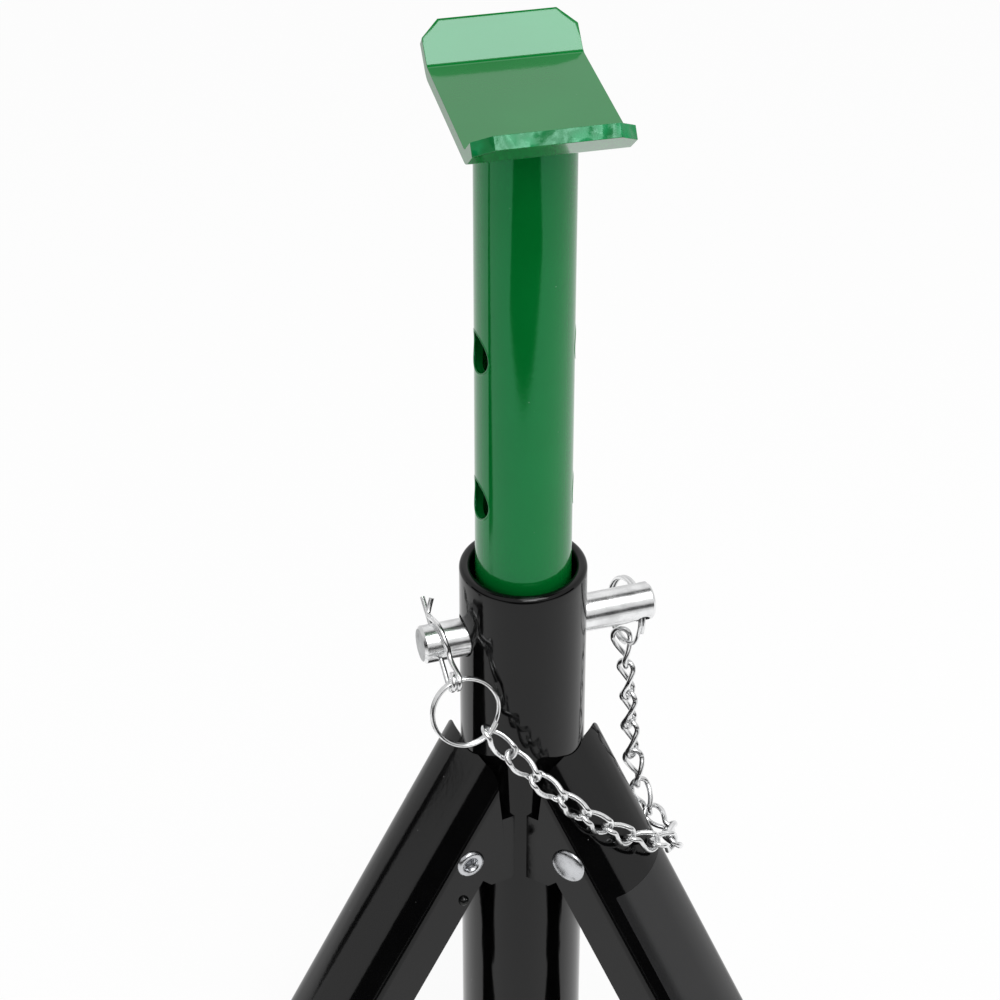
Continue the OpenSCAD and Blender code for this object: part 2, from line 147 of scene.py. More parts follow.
@dataclass
class Graph:
    """Nodes of one material or world, with a method for each thing that is made often."""

    tree: bpy.types.NodeTree

    def node(
        self,
        kind: str,
        settings: dict[str, object] | None = None,
        inputs: dict[str | int, object] | None = None,
        output: str | int = 0,
    ) -> Socket:
        """Makes a node.

        Args:
            kind: The node's type.
            settings: Properties to set on it.
            inputs: Values or sockets for its inputs, by name or number.
            output: The output to return.

        Returns:
            That output as a socket.
        """
        made = self.tree.nodes.new(kind)
        for name, value in (settings or {}).items():
            setattr(made, name, value)
        for name, value in (inputs or {}).items():
            if isinstance(value, Socket):
                self.tree.links.new(value.output, made.inputs[name])
            else:
                made.inputs[name].default_value = value
        return Socket(self, made.outputs[output])

    def place(self, stretch: Point = (1.0, 1.0, 1.0)) -> Socket:
        """Object coordinates, stretched along the axes."""
        where = self.node("ShaderNodeTexCoord", output="Object")
        return self.node("ShaderNodeMapping", inputs={"Vector": where, "Scale": stretch})

    def noise(self, where: Socket, scale: float, detail: float = 3.0, rough: float = 0.5) -> Socket:
        """Fractal noise from 0 to 1."""
        inputs = {"Vector": where, "Scale": scale, "Detail": detail, "Roughness": rough}
        return self.node("ShaderNodeTexNoise", inputs=inputs)

    def specks(self, where: Socket, scale: float, size: float) -> Socket:
        """Sparse round specks: 1 inside, 0 outside."""
        inputs = {"Vector": where, "Scale": scale, "Randomness": 1.0}
        return 1.0 - self.node("ShaderNodeTexVoronoi", inputs=inputs).ramp(size * 0.5, size)

    def blend(self, factor: Socket, first: Colour | Socket, second: Colour | Socket) -> Socket:
        """A mix of two colours."""
        inputs: dict[str | int, object] = {"Factor": factor}
        for number, colour in ((6, first), (7, second)):
            inputs[number] = colour if isinstance(colour, Socket) else (*colour, 1.0)
        return self.node("ShaderNodeMix", {"data_type": "RGBA"}, inputs, output=2)

    def bump(self, height: Socket, strength: float, distance: float) -> Socket:
        """A bumped normal from a height."""
        inputs = {"Height": height, "Strength": strength, "Distance": distance}
        return self.node("ShaderNodeBump", inputs=inputs, output="Normal")

    def principled(self, inputs: dict[str | int, object]) -> Socket:
        """A Principled shader."""
        return self.node("ShaderNodeBsdfPrincipled", inputs=inputs)

    def matt(self, grey: float, roughness: float) -> Socket:
        """A dull grey shader that mirrors nothing."""
        inputs = {"Base Color": (grey, grey, grey, 1.0), "Roughness": roughness, "Specular IOR Level": 0.0}
        return self.principled(inputs)

    def show(self, surface: Socket, kind: str = "ShaderNodeOutputMaterial") -> None:
        """Links a shader to the output."""
        end = self.tree.nodes.new(kind)
        self.tree.links.new(surface.output, end.inputs["Surface"])


def new_material(name: str) -> tuple[bpy.types.Material, Graph]:
    """An empty material and its graph."""
    material = bpy.data.materials.new(name)
    material.use_nodes = True
    material.node_tree.nodes.clear()
    return material, Graph(material.node_tree)


# Finishes

DUST_GREY = (0.55, 0.56, 0.55)
SCUFF_GREY = (0.16, 0.16, 0.165)


@dataclass(frozen=True)
class Paint:
    """A coat of paint. Each kind of ground under it has a class of its own.

    Args:
        name: The material's name.
        colour: Linear colour of the paint.
        shade: Linear colour where the coat is thicker.
        gloss: Strength of its reflections.
        tint: Colour of its reflections.
        roughness: Blur of its reflections.
    """

    name: str
    colour: Colour
    shade: Colour
    gloss: float
    tint: Colour
    roughness: float

    def coat(self, graph: Graph, colour: Socket, roughness: Socket, normal: Socket) -> None:
        """Shows the paint with the given colour, blur and bumps."""
        surface = {
            "Base Color": colour,
            "Roughness": roughness,
            "Specular IOR Level": self.gloss,
            "Specular Tint": (*self.tint, 1.0),
            "Normal": normal,
        }
        graph.show(graph.principled(surface))


@dataclass(frozen=True)
class Enamel(Paint):
    """Glossy baked paint with orange peel, dust specks and a little unevenness.

    Args:
        peel: Height of the orange peel.
        dust: Strength of the dust specks.
    """

    roughness: float = 0.09
    peel: float = 0.03
    dust: float = 0.25

    def material(self) -> bpy.types.Material:
        """The paint as a material."""
        material, graph = new_material(self.name)
        where = graph.place()
        cloud = graph.noise(where, scale=28.0, detail=4.0)
        peel = graph.noise(where, scale=420.0, detail=2.0)
        dust = graph.specks(where, scale=160.0, size=0.055) * graph.noise(where, scale=45.0).ramp(0.5, 0.62)
        clean = graph.blend(cloud.ramp(0.3, 0.7), self.colour, self.shade)
        colour = graph.blend(dust * self.dust, clean, DUST_GREY)
        roughness = cloud.between(self.roughness * 0.7, self.roughness * 1.3) + dust * 0.25
        self.coat(graph, colour, roughness, graph.bump(peel + dust * 0.6, self.peel, distance=0.0004))
        return material


@dataclass(frozen=True)
class CutEdge(Paint):
    """Paint over a sheared edge: wavy along the cut, so that it breaks up reflections."""

    roughness: float = 0.16

    def material(self) -> bpy.types.Material:
        """The painted edge as a material."""
        material, graph = new_material(self.name)
        where = graph.place()
        waves = graph.noise(where, scale=130.0, detail=1.0)
        fine = graph.noise(where, scale=380.0, detail=2.0)
        colour = graph.blend(waves.ramp(0.35, 0.65), self.colour, self.shade)
        roughness = fine.between(self.roughness * 0.6, self.roughness * 1.6)
        self.coat(graph, colour, roughness, graph.bump(waves + fine * 0.05, strength=0.8, distance=0.002))
        return material


@dataclass(frozen=True)
class WeldBead(Paint):
    """Paint over a weld: rippled and a little lumpy."""

    roughness: float = 0.16

    def material(self) -> bpy.types.Material:
        """The painted weld as a material."""
        material, graph = new_material(self.name)
        where = graph.place()
        lumps = graph.noise(where, scale=260.0, detail=3.0)
        ripples = graph.node("ShaderNodeTexVoronoi", inputs={"Vector": where, "Scale": 420.0})
        colour = graph.blend(lumps, self.colour, self.shade)
        roughness = lumps.between(self.roughness * 0.7, self.roughness * 1.4)
        self.coat(graph, colour, roughness, graph.bump(ripples + lumps, strength=0.8, distance=0.0008))
        return material


@dataclass(frozen=True)
class Plating:
    """Bright zinc with fine drawn streaks, dull patches and dark scuffs.

    Args:
        name: The material's name.
        colour: Linear colour of clean plating.
        stretch: Scale of the streaks along X, Y and Z.
        roughness: Blur of reflections in clean plating.
        scuffs: Strength of the dark scuffs.
        grain: Depth of the streaks.
    """

    name: str
    colour: Colour = (0.74, 0.75, 0.77)
    stretch: Point = (1.0, 1.0, 1.0)
    roughness: float = 0.16
    scuffs: float = 0.6
    grain: float = 0.12

    def material(self) -> bpy.types.Material:
        """The plating as a material."""
        material, graph = new_material(self.name)
        where = graph.place()
        streaks = graph.noise(graph.place(self.stretch), scale=700.0, detail=3.0)
        patches = graph.noise(where, scale=130.0, detail=4.0)
        rubbed = graph.noise(graph.place(self.stretch), scale=260.0, detail=5.0, rough=0.6)
        scuffs = rubbed.ramp(0.56, 0.7) * self.scuffs
        dull = graph.blend(patches.ramp(0.35, 0.7), self.colour, tuple(0.8 * c for c in self.colour))
        surface = {
            "Base Color": graph.blend(scuffs, dull, SCUFF_GREY),
            "Metallic": 1.0,
            "Roughness": streaks.between(self.roughness * 0.6, self.roughness * 1.5) + scuffs * 0.25,
            "Normal": graph.bump(streaks + scuffs * -0.5, self.grain, distance=0.0003),
        }
        graph.show(graph.principled(surface))
        return material


@dataclass(frozen=True)
class Vinyl:
    """A plain sticker: satin, with a faint grain.

    Args:
        name: The material's name.
        colour: Linear colour of the vinyl.
        roughness: Blur of its reflections.
    """

    name: str
    colour: Colour
    roughness: float = 0.32

    def material(self) -> bpy.types.Material:
        """The vinyl as a material."""
        material, graph = new_material(self.name)
        where = graph.place()
        grain = graph.noise(where, scale=900.0, detail=2.0)
        cloud = graph.noise(where, scale=40.0, detail=3.0)
        surface = {
            "Base Color": graph.blend(cloud, self.colour, tuple(1.25 * c for c in self.colour)),
            "Roughness": cloud.between(self.roughness * 0.85, self.roughness * 1.15),
            "Normal": graph.bump(grain, strength=0.04, distance=0.0002),
        }
        graph.show(graph.principled(surface))
        return material


Finish = Enamel | CutEdge | WeldBead | Plating | Vinyl

BLACK_GLOSS = 0.3
BLACK_TINT = (1.0, 1.0, 1.0)
GREEN_GLOSS = 0.8
GREEN_TINT = (0.27, 1.0, 0.62)
# Painted light: a paler reflection tint, used only by the brightened copy of the green paint on the saddle
SADDLE_PAINTED_LIGHT_TINT = (0.74, 1.0, 0.93)
EDGE_GLOSS = 0.4
EDGE_TINT = (0.55, 1.0, 0.8)

BLACK_ENAMEL = Enamel(
    "black_enamel", (0.0012, 0.0012, 0.0013), (0.002, 0.002, 0.0021), BLACK_GLOSS, BLACK_TINT
)
GREEN_ENAMEL = Enamel(
    "green_enamel", (0.0004, 0.108, 0.0155), (0.0008, 0.12, 0.019), GREEN_GLOSS, GREEN_TINT, dust=0.12
)
# Painted light: a copy of the column's green paint with a brighter base colour and paler reflections, so that
# the saddle's upward faces look more lit
SADDLE_PAINTED_LIGHT_ENAMEL = Enamel(
    "saddle_painted_light_enamel", (0.0004, 0.128, 0.018), (0.0008, 0.142, 0.022), GREEN_GLOSS, SADDLE_PAINTED_LIGHT_TINT, dust=0.12
)
BLACK_BEAD = WeldBead(
    "black_weld", (0.002, 0.002, 0.0021), (0.0028, 0.0028, 0.00294), BLACK_GLOSS, BLACK_TINT
)
GREEN_BEAD = WeldBead(
    "green_weld", (0.0006, 0.1, 0.016), (0.00084, 0.14, 0.0224), GREEN_GLOSS, GREEN_TINT
)
GREEN_EDGE = CutEdge("green_cut_edge", (0.0006, 0.1, 0.02), (0.002, 0.17, 0.05), EDGE_GLOSS, EDGE_TINT)
PIN_ZINC = Plating("pin_zinc", colour=(0.92, 0.925, 0.93), stretch=(0.12, 0.5, 1.0), roughness=0.23)
PIN_END_ZINC = Plating("pin_end_zinc", colour=(0.5, 0.51, 0.515), roughness=0.42, scuffs=0.25)
WIRE_ZINC = Plating("wire_zinc", colour=(0.9, 0.905, 0.91), roughness=0.2, scuffs=0.12, grain=0.03)
RIVET_ZINC = Plating("rivet_zinc", colour=(0.62, 0.63, 0.65), roughness=0.24, scuffs=0.5)
CHARCOAL_VINYL = Vinyl("charcoal_vinyl", (0.009, 0.009, 0.0095))
PAPER_EDGE = Vinyl("sticker_edge", (0.45, 0.45, 0.46), 0.5)


@dataclass
class Paints:
    """Materials made once and shared by the pieces."""

    made: dict[str, bpy.types.Material] = field(default_factory=dict)

    def of(self, finish: Finish) -> bpy.types.Material:
        """The material of a finish."""
        if finish.name not in self.made:
            self.made[finish.name] = finish.material()
        return self.made[finish.name]


# Helpers


def turn(axis: str, degrees: float) -> Matrix:
    """A rotation about a coordinate axis."""
    return Matrix.Rotation(math.radians(degrees), 4, axis)


def shift(x: float, y: float, z: float) -> Matrix:
    """A move given in millimetres."""
    return Matrix.Translation((x * MM, y * MM, z * MM))


def arc(start: float, end: float, steps: int) -> list[float]:
    """Evenly spaced angles in radians, from a start to an end in degrees."""
    return [math.radians(start + (end - start) * k / steps) for k in range(steps + 1)]


def new_piece(
    name: str, mesh: bmesh.types.BMesh, materials: Iterable[bpy.types.Material]
) -> bpy.types.Object:
    """Makes an object from a finished mesh.

    Args:
        name: The piece's name.
        mesh: Its mesh, which is used up.
        materials: Its material slots in order.

    Returns:
        The object, at the origin.
    """
    bmesh.ops.recalc_face_normals(mesh, faces=mesh.faces)
    data = bpy.data.meshes.new(name)
    mesh.to_mesh(data)
    mesh.free()
    for material in materials:
        data.materials.append(material)
    piece = bpy.data.objects.new(name, data)
    bpy.context.scene.collection.objects.link(piece)
    log.info("%s: %d faces", name, len(data.polygons))
    return piece


def smooth_by_angle(mesh: bmesh.types.BMesh, angle: float) -> None:
    """Shades faces smooth, with edges sharper than the angle, in degrees, kept crisp."""
    for face in mesh.faces:
        face.smooth = True
    for edge in mesh.edges:
        edge.smooth = len(edge.link_faces) == 2 and edge.calc_face_angle(0.0) < math.radians(angle)


def merged_copy(node: str) -> bmesh.types.BMesh:
    """A CAD node's mesh with its triangles joined and flat faces cleaned up."""
    mesh = bmesh.new()
    mesh.from_mesh(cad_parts[node].data)
    bmesh.ops.transform(mesh, matrix=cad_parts[node].matrix_world, verts=mesh.verts)
    bmesh.ops.remove_doubles(mesh, verts=mesh.verts, dist=MERGE_DISTANCE)
    bmesh.ops.dissolve_limit(
        mesh, angle_limit=math.radians(FLAT_ANGLE), verts=mesh.verts, edges=mesh.edges,
        use_dissolve_boundaries=False,
    )
    return mesh


def soften_edges(mesh: bmesh.types.BMesh, width: float, angle: float = 40.0) -> None:
    """Rounds edges that are sharper than the angle, in degrees."""
    inner = [edge for edge in mesh.edges if len(edge.link_faces) == 2]
    sharp = [edge for edge in inner if edge.calc_face_angle(0.0) > math.radians(angle)]
    bmesh.ops.bevel(
        mesh, geom=sharp, offset=width, offset_type="OFFSET", affect="EDGES", segments=3, profile=0.5,
        material=-1, clamp_overlap=True,
    )


def wire_piece(
    name: str,
    paths: Sequence[Sequence[Point]],
    radius: float,
    material: bpy.types.Material,
    closed: bool = False,
) -> bpy.types.Object:
    """Round wires along smooth lines, as one piece.

    Args:
        name: The piece's name.
        paths: Points of each line.
        radius: The wire's radius.
        material: Its finish.
        closed: True for lines that end where they began.

    Returns:
        The piece.
    """
    curve = bpy.data.curves.new(f"{name}_line", "CURVE")
    curve.dimensions = "3D"
    curve.bevel_depth = radius
    curve.bevel_resolution = 5
    curve.use_fill_caps = True
    curve.resolution_u = 4
    for path in paths:
        spline = curve.splines.new("BEZIER")
        spline.bezier_points.add(len(path) - 1)
        spline.use_cyclic_u = closed
        for knot, place in zip(spline.bezier_points, path):
            knot.co = place
            knot.handle_left_type = "AUTO"
            knot.handle_right_type = "AUTO"
    holder = bpy.data.objects.new(f"{name}_line", curve)
    bpy.context.scene.collection.objects.link(holder)
    bpy.context.view_layer.update()
    mesh = bmesh.new()
    mesh.from_mesh(holder.to_mesh())
    bpy.data.objects.remove(holder)
    bpy.data.curves.remove(curve)
    smooth_by_angle(mesh, 50.0)
    return new_piece(name, mesh, [material])


def turned(profile: Sequence[tuple[float, float]], steps: int) -> bmesh.types.BMesh:
    """A solid of revolution about Z.

    Args:
        profile: Closed outline as radius and height.
        steps: Sides of the full turn.

    Returns:
        Its mesh.
    """
    mesh = bmesh.new()
    ring = [mesh.verts.new((r, 0.0, z)) for r, z in profile]
    edges = [mesh.edges.new((ring[i], ring[i - 1])) for i in range(len(ring))]
    bmesh.ops.spin(
        mesh, geom=ring + edges, axis=(0, 0, 1), cent=(0, 0, 0), steps=steps, angle=math.tau,
        use_merge=True,
    )
    return mesh


# Sub-assemblies, with fields in millimetres and degrees

PIN_FRAME = shift(0, 0, PIN_HEIGHT) @ turn("Z", PIN_TURN)
CLIP_FRAME = PIN_FRAME @ shift(CLIP_HOLE, 0, 0) @ turn("X", CLIP_ROLL) @ turn("Y", -90)


@dataclass
class Assembly:
    """Pieces that share their paints.

    Args:
        paints: Materials shared by all the pieces.
    """

    paints: Paints

    def stand_in(self, piece: bpy.types.Object, node: str, body: Body, slot: Slot) -> bpy.types.Object:
        """Puts a piece in a CAD node's place, on its body."""
        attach(piece, body.value)
        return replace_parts(piece, node)

    def finished(
        self, mesh: bmesh.types.BMesh, node: str, body: Body, slot: Slot, *finishes: Finish
    ) -> None:
        """Shades a mesh made from a CAD node and puts it in the node's place."""
        smooth_by_angle(mesh, SMOOTH_ANGLE)
        piece = new_piece(f"{node}_finished", mesh, [self.paints.of(finish) for finish in finishes])
        normals = piece.modifiers.new("even_normals", "WEIGHTED_NORMAL")
        normals.keep_sharp = True
        self.stand_in(piece, node, body, slot)

    def softened(self, node: str, body: Body, slot: Slot, finish: Finish, width: float = 0.0) -> None:
        """A CAD node with its sharp edges rounded by a width in millimetres, in its place."""
        mesh = merged_copy(node)
        if width:
            soften_edges(mesh, width * MM)
        self.finished(mesh, node, body, slot, finish)


@dataclass
class CentreTube(Assembly):
    """The upright tube with its three pivot brackets.

    Args:
        outer: The tube's radius.
        bore: Its bore's radius.
        top: Height of its rim.
        lip: Height of the part with a fuller rim.
        land: Width left flat on the rim.
    """

    outer: float = 23.0
    bore: float = 19.0
    top: float = 256.0
    lip: float = 6.0
    land: float = 0.3

    def tube(self) -> None:
        """The drilled tube, its rim rounded more fully than in the frame."""
        mesh = merged_copy("centre_tube")
        geometry = mesh.verts[:] + mesh.edges[:] + mesh.faces[:]
        foot = self.top - self.lip
        cut = bmesh.ops.bisect_plane(
            mesh, geom=geometry, dist=CUT_DISTANCE, plane_co=(0, 0, foot * MM), plane_no=(0, 0, 1),
            clear_outer=True,
        )
        bmesh.ops.holes_fill(mesh, edges=[e for e in cut["geom_cut"] if isinstance(e, bmesh.types.BMEdge)])
        round_r = (self.outer - self.bore - self.land) / 2
        outline = [(self.bore, foot), (self.outer, foot)]
        for middle, turns in ((self.outer - round_r, (0, 90)), (self.bore + round_r, (90, 180))):
            for a in arc(*turns, 10):
                outline.append((middle + round_r * math.cos(a), self.top - round_r * (1 - math.sin(a))))
        self.finished(mesh, "centre_tube", Body.STAND, Slot.BLACK, BLACK_ENAMEL)
        rim = turned([(r * MM, z * MM) for r, z in outline], steps=128)
        smooth_by_angle(rim, SMOOTH_ANGLE)
        piece = new_piece("tube_rim", rim, [self.paints.of(BLACK_ENAMEL)])
        self.stand_in(piece, "centre_tube", Body.STAND, Slot.BLACK)

    def build(self) -> None:
        """Builds and dresses the tube and its brackets."""
        self.tube()
        for side in "abc":
            self.softened(f"pivot_bracket_{side}", Body.STAND, Slot.BLACK, BLACK_ENAMEL)
            self.softened(f"bracket_weld_{side}", Body.STAND, Slot.BLACK, BLACK_BEAD)


@dataclass
class FoldingLeg(Assembly):
    """One channel leg with its foot and pivot rivet.

    Args:
        side: The letter in its nodes' names.
        body: The body that it rides on.
        azimuth: Its direction about the tube.
        pivot: Its pivot's distance from the tube's axis and height.
        splay: Its slope from the vertical.
        back: Height of its back above the pivot line.
        wall: Its thickness.
        flat: Half the width of its back between the bends.
        bend: Radius of the bends.
        eases: How far each bend is drawn out over the back, on the -Y and the +Y side.
        strips: Strips that each half of the back is cut into, so that it can curve.
        edge: Rounding of its cut edges.
        head: Radius of the rivet's head.
        shank: Radius of the rivet's shank.
    """

    side: str
    body: Body
    azimuth: float
    pivot: tuple[float, float] = (33.3, 144.0)
    splay: float = 32.0
    back: float = 10.2
    wall: float = 2.5
    flat: float = 15.5
    bend: float = 6.0
    eases: tuple[float, float] = (0.0, 0.0)
    strips: int = 10
    edge: float = 0.45
    head: float = 6.8
    shank: float = 4.0

    @property
    def place(self) -> Matrix:
        """The leg's frame: origin on its pivot, X out through its back, Z up along it."""
        out, height = self.pivot
        return turn("Z", self.azimuth) @ shift(out, 0, height) @ turn("Y", -self.splay)

    @property
    def half(self) -> float:
        """Half the width across its flanks, in millimetres."""
        return self.flat + self.bend

    def profile(self, across: float) -> float:
        """Height of the back above the pivot line, at a distance across it, in metres."""
        ease = self.eases[across > 0.0]
        share = max(0.0, (abs(across) / MM - self.flat + ease) / (self.bend + ease))
        return (self.back - self.bend * (1.0 - math.sqrt(max(0.0, 1.0 - share * share)))) * MM

    def is_outer(self, point: Vector) -> bool:
        """True for a point, in the leg's frame, on the outside of the back or of a bend."""
        out, across = point.x / MM - self.back + self.bend, abs(point.y) / MM - self.flat
        return math.hypot(max(0.0, out), max(0.0, across)) > self.bend - self.wall / 2 and out > 0.0

    def channel(self) -> None:
        """The pressed leg: its bends eased into the back and its cut edges rounded."""
        mesh = merged_copy(f"leg_{self.side}")
        bmesh.ops.transform(mesh, matrix=self.place.inverted(), verts=mesh.verts)
        # The strip beside each flank is narrower than the others
        narrow = 0.2
        for step in range(-self.strips, self.strips + 1):
            geometry = mesh.verts[:] + mesh.edges[:] + mesh.faces[:]
            cut = (0.0, step * self.half * MM / (self.strips + narrow), 0.0)
            bmesh.ops.bisect_plane(mesh, geom=geometry, dist=CUT_DISTANCE, plane_co=cut, plane_no=(0, 1, 0))
        for vert in mesh.verts:
            if self.is_outer(vert.co):
                vert.co.x = self.profile(vert.co.y)
        bmesh.ops.transform(mesh, matrix=self.place, verts=mesh.verts)
        soften_edges(mesh, self.edge * MM, angle=50.0)
        self.finished(mesh, f"leg_{self.side}", self.body, Slot.BLACK, BLACK_ENAMEL)

    def rivet(self) -> None:
        """The pivot rivet: a domed head on one flank and a rolled tubular end on the other."""
        half, shank = self.half, self.shank
        rim, rise = 0.3, 0.27 * self.head
        roll, roll_rise = 1.45, 1.35
        bore = ((2.45, 0.1), (2.3, -0.5), (2.0, -0.7), (1.9, -3.2), (0.0, -4.4))
        outline = [(self.head * math.sin(a), -half - rim - rise * math.cos(a)) for a in arc(0, 90, 10)]
        outline += [(self.head, -half), (shank, -half), (shank, half)]
        outline += [(shank + roll * math.sin(a), half + roll_rise * math.cos(a)) for a in arc(90, -60, 12)]
        outline += [(r, half + z) for r, z in bore]
        mesh = turned([(r * MM, z * MM) for r, z in outline], steps=48)
        bmesh.ops.remove_doubles(mesh, verts=mesh.verts, dist=CUT_DISTANCE)
        bmesh.ops.transform(mesh, matrix=self.place @ turn("X", -90), verts=mesh.verts)
        self.finished(mesh, f"pivot_rivet_{self.side}", self.body, Slot.ZINC, RIVET_ZINC)

    def build(self) -> None:
        """Builds and dresses the leg."""
        self.channel()
        self.rivet()
        self.softened(f"foot_{self.side}", self.body, Slot.BLACK, BLACK_ENAMEL, width=0.6)
        self.softened(f"foot_weld_{self.side}", self.body, Slot.BLACK, BLACK_BEAD)


@dataclass
class Sticker(Assembly):
    """A bare charcoal sticker on a leg's back.

    Args:
        leg: The leg that it is on.
        top: Its upper end along the leg.
        length: Its length.
        half: Half its width.
        sag: Depth of its hollow upper edge.
        corner: Rounding of its corners.
        border: Width of its pale cut edge.
        thickness: Its thickness.
        lift: Its height over the paint.
        cells: Cells along each of its sides.
    """

    leg: FoldingLeg
    top: float = -18.6
    length: float = 104.0
    half: float = 17.0
    sag: float = 3.2
    corner: float = 0.9
    border: float = 0.35
    thickness: float = 0.14
    lift: float = 0.04
    cells: int = 24

    def build(self) -> None:
        """Builds the sticker over the back."""
        mesh = bmesh.new()
        bmesh.ops.create_grid(mesh, x_segments=self.cells, y_segments=self.cells, size=0.5)
        for vert in mesh.verts:
            across, along = 2 * vert.co.x, vert.co.y + 0.5
            hollow = self.sag * (1.0 - across * across) * along
            y = across * self.half * MM
            z = (self.top - self.length * (1.0 - along) - hollow) * MM
            vert.co = (self.leg.profile(y) + self.lift * MM, y, z)
        tips = [vert for vert in mesh.verts if len(vert.link_edges) == 2]
        bmesh.ops.bevel(
            mesh, geom=tips, offset=self.corner * MM, offset_type="OFFSET", affect="VERTICES", segments=5,
            profile=0.5, material=-1, clamp_overlap=True,
        )
        bmesh.ops.transform(mesh, matrix=self.leg.place, verts=mesh.verts)
        border = bmesh.ops.inset_region(
            mesh, faces=mesh.faces[:], thickness=self.border * MM, use_even_offset=True
        )
        for face in border["faces"]:
            face.material_index = 1
        bmesh.ops.solidify(mesh, geom=mesh.faces[:], thickness=self.thickness * MM)
        smooth_by_angle(mesh, 40.0)
        piece = new_piece("sticker", mesh, [self.paints.of(CHARCOAL_VINYL), self.paints.of(PAPER_EDGE)])
        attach(piece, self.leg.body.value)


@dataclass
class HeightColumn(Assembly):
    """The drilled column with its bent saddle.

    Args:
        saddle_turn: Turn of the saddle's bends about the column.
        edge: Rounding of the saddle's edges.
        border: Width of the rolled-over border of its flanges.
        fall: How far that border falls away.
        holes: Heights of the pin holes.
        hole_r: Radius of the fat edge of paint round a hole.
        skin: Distance of that edge's middle from the column's axis.
        bead: Radius of that edge's section.
    """

    saddle_turn: float = 14.5
    edge: float = 0.9
    border: float = 1.5
    fall: float = 0.24
    holes: tuple[float, ...] = (227.5, 287.5, 347.5)
    hole_r: float = 7.8
    skin: float = 17.0
    bead: float = 0.42

    def saddle(self) -> None:
        """The saddle plate, its edges rounded and the sheared ends of its flanges wavy."""
        mesh = merged_copy("saddle_plate")
        along = turn("Z", self.saddle_turn) @ Vector((0, 1, 0))
        for face in mesh.faces:
            face.material_index = int(self.is_end(face, along))
        self.roll_over(mesh, [face for face in mesh.faces if self.is_flange(face)])
        soften_edges(mesh, self.edge * MM, angle=30.0)
        # The saddle takes the brightened copy of the green paint, which paints light on it; its sheared ends
        # keep the wavy edge finish
        self.finished(mesh, "saddle_plate", Body.COLUMN, Slot.GREEN, SADDLE_PAINTED_LIGHT_ENAMEL, GREEN_EDGE)

    def roll_over(self, mesh: bmesh.types.BMesh, faces: list[bmesh.types.BMFace]) -> None:
        """Lets the free borders of faces fall away a little, as sheared sheet does."""
        free_angle = math.radians(50)
        for face in faces:
            down = face.normal * -self.fall * MM
            border = bmesh.ops.inset_individual(
                mesh, faces=[face], thickness=self.border * MM, use_even_offset=True
            )
            edges = {edge for part in border["faces"] for edge in part.edges}
            free = {vert for edge in edges if edge.calc_face_angle(0.0) > free_angle for vert in edge.verts}
            bmesh.ops.translate(mesh, verts=list(free), vec=down)

    @staticmethod
    def is_flange(face: bmesh.types.BMFace) -> bool:
        """True for the upper face of a flange: sloping, and larger than 4 square centimetres."""
        return 0.7 < face.normal.z < 0.85 and face.calc_area() > 4e-4

    @staticmethod
    def is_end(face: bmesh.types.BMFace, along: Vector) -> bool:
        """True for the end faces of a flange, its two corner cuts included."""
        return abs(face.normal.dot(along)) > 0.5 and abs(face.normal.z) < 0.7

    def hole_rims(self) -> None:
        """The fat edges of paint round the pin holes."""
        paths = []
        for height in self.holes:
            for side in (0, 180):
                place = shift(0, 0, height) @ turn("Z", PIN_TURN + side)
                ring = []
                for a in arc(0, 360, 32)[:-1]:
                    across, up = self.hole_r * math.cos(a), self.hole_r * math.sin(a)
                    out = math.sqrt(self.skin**2 - across**2)
                    ring.append(place @ (Vector((out, across, up)) * MM))
                paths.append(ring)
        piece = wire_piece("hole_rims", paths, self.bead * MM, self.paints.of(GREEN_ENAMEL), closed=True)
        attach(piece, Body.COLUMN.value)

    def build(self) -> None:
        """Builds and dresses the column."""
        self.softened("column_tube", Body.COLUMN, Slot.GREEN, GREEN_ENAMEL)
        self.softened("saddle_weld", Body.COLUMN, Slot.GREEN, GREEN_BEAD)
        self.saddle()
        self.hole_rims()


